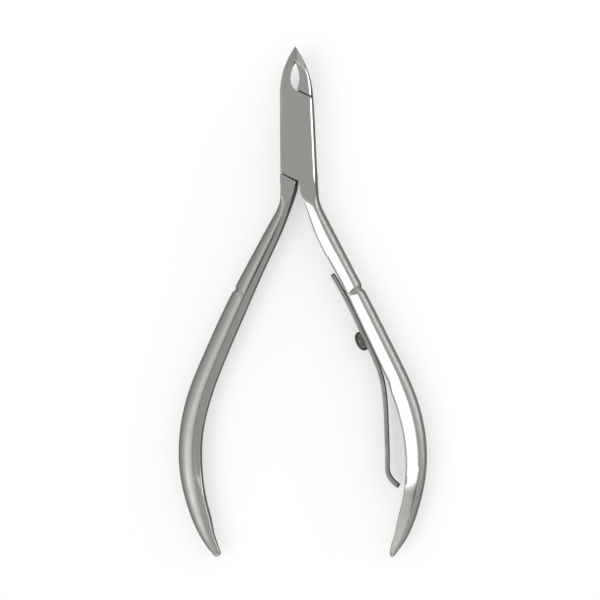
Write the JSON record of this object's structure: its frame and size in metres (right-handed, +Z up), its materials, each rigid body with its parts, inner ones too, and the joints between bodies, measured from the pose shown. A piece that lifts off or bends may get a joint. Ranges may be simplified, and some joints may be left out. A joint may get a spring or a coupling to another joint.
{
  "type": "cuticle nipper",
  "caption": "Lap-joint cuticle nipper with slender curved handles and a leaf spring that swivels from its parked place to its working place.",
  "frame": {"origin": "under the middle of the outline, on the plane the joint's back face lies on", "axes": "+Y towards the blade tips along the long axis, +Z up from the back face to the front face, +X to the side of the handle that carries the leaf spring"},
  "size_m": [0.05, 0.102, 0.0052],
  "materials": {
    "forged_steel": "satin-ground head, polished handles",
    "rivet_steel": "ground flush with the joint face",
    "spring_steel": "polished strip",
    "screw_steel": "dull turned steel"
  },
  "bodies": {
    "front": {"front_half": "forged_steel", "pivot_rivet": "rivet_steel", "spring_screw": "screw_steel"},
    "back": {"back_half": "forged_steel"},
    "leaf": {"leaf_spring": "spring_steel"}
  },
  "joints": [
    {"name": "blade_pivot", "type": "hinge", "parent": "front", "child": "back", "pos_m": [0, 0.033, 0.0026], "axis": [0, 0, -1], "range_deg": [0, 20]},
    {"name": "leaf_swivel", "type": "hinge", "parent": "front", "child": "leaf", "pos_m": [0.01362, -0.00745, 0.0026], "axis": [-0.9092, -0.4163, 0], "range_deg": [0, 165]}
  ]
}
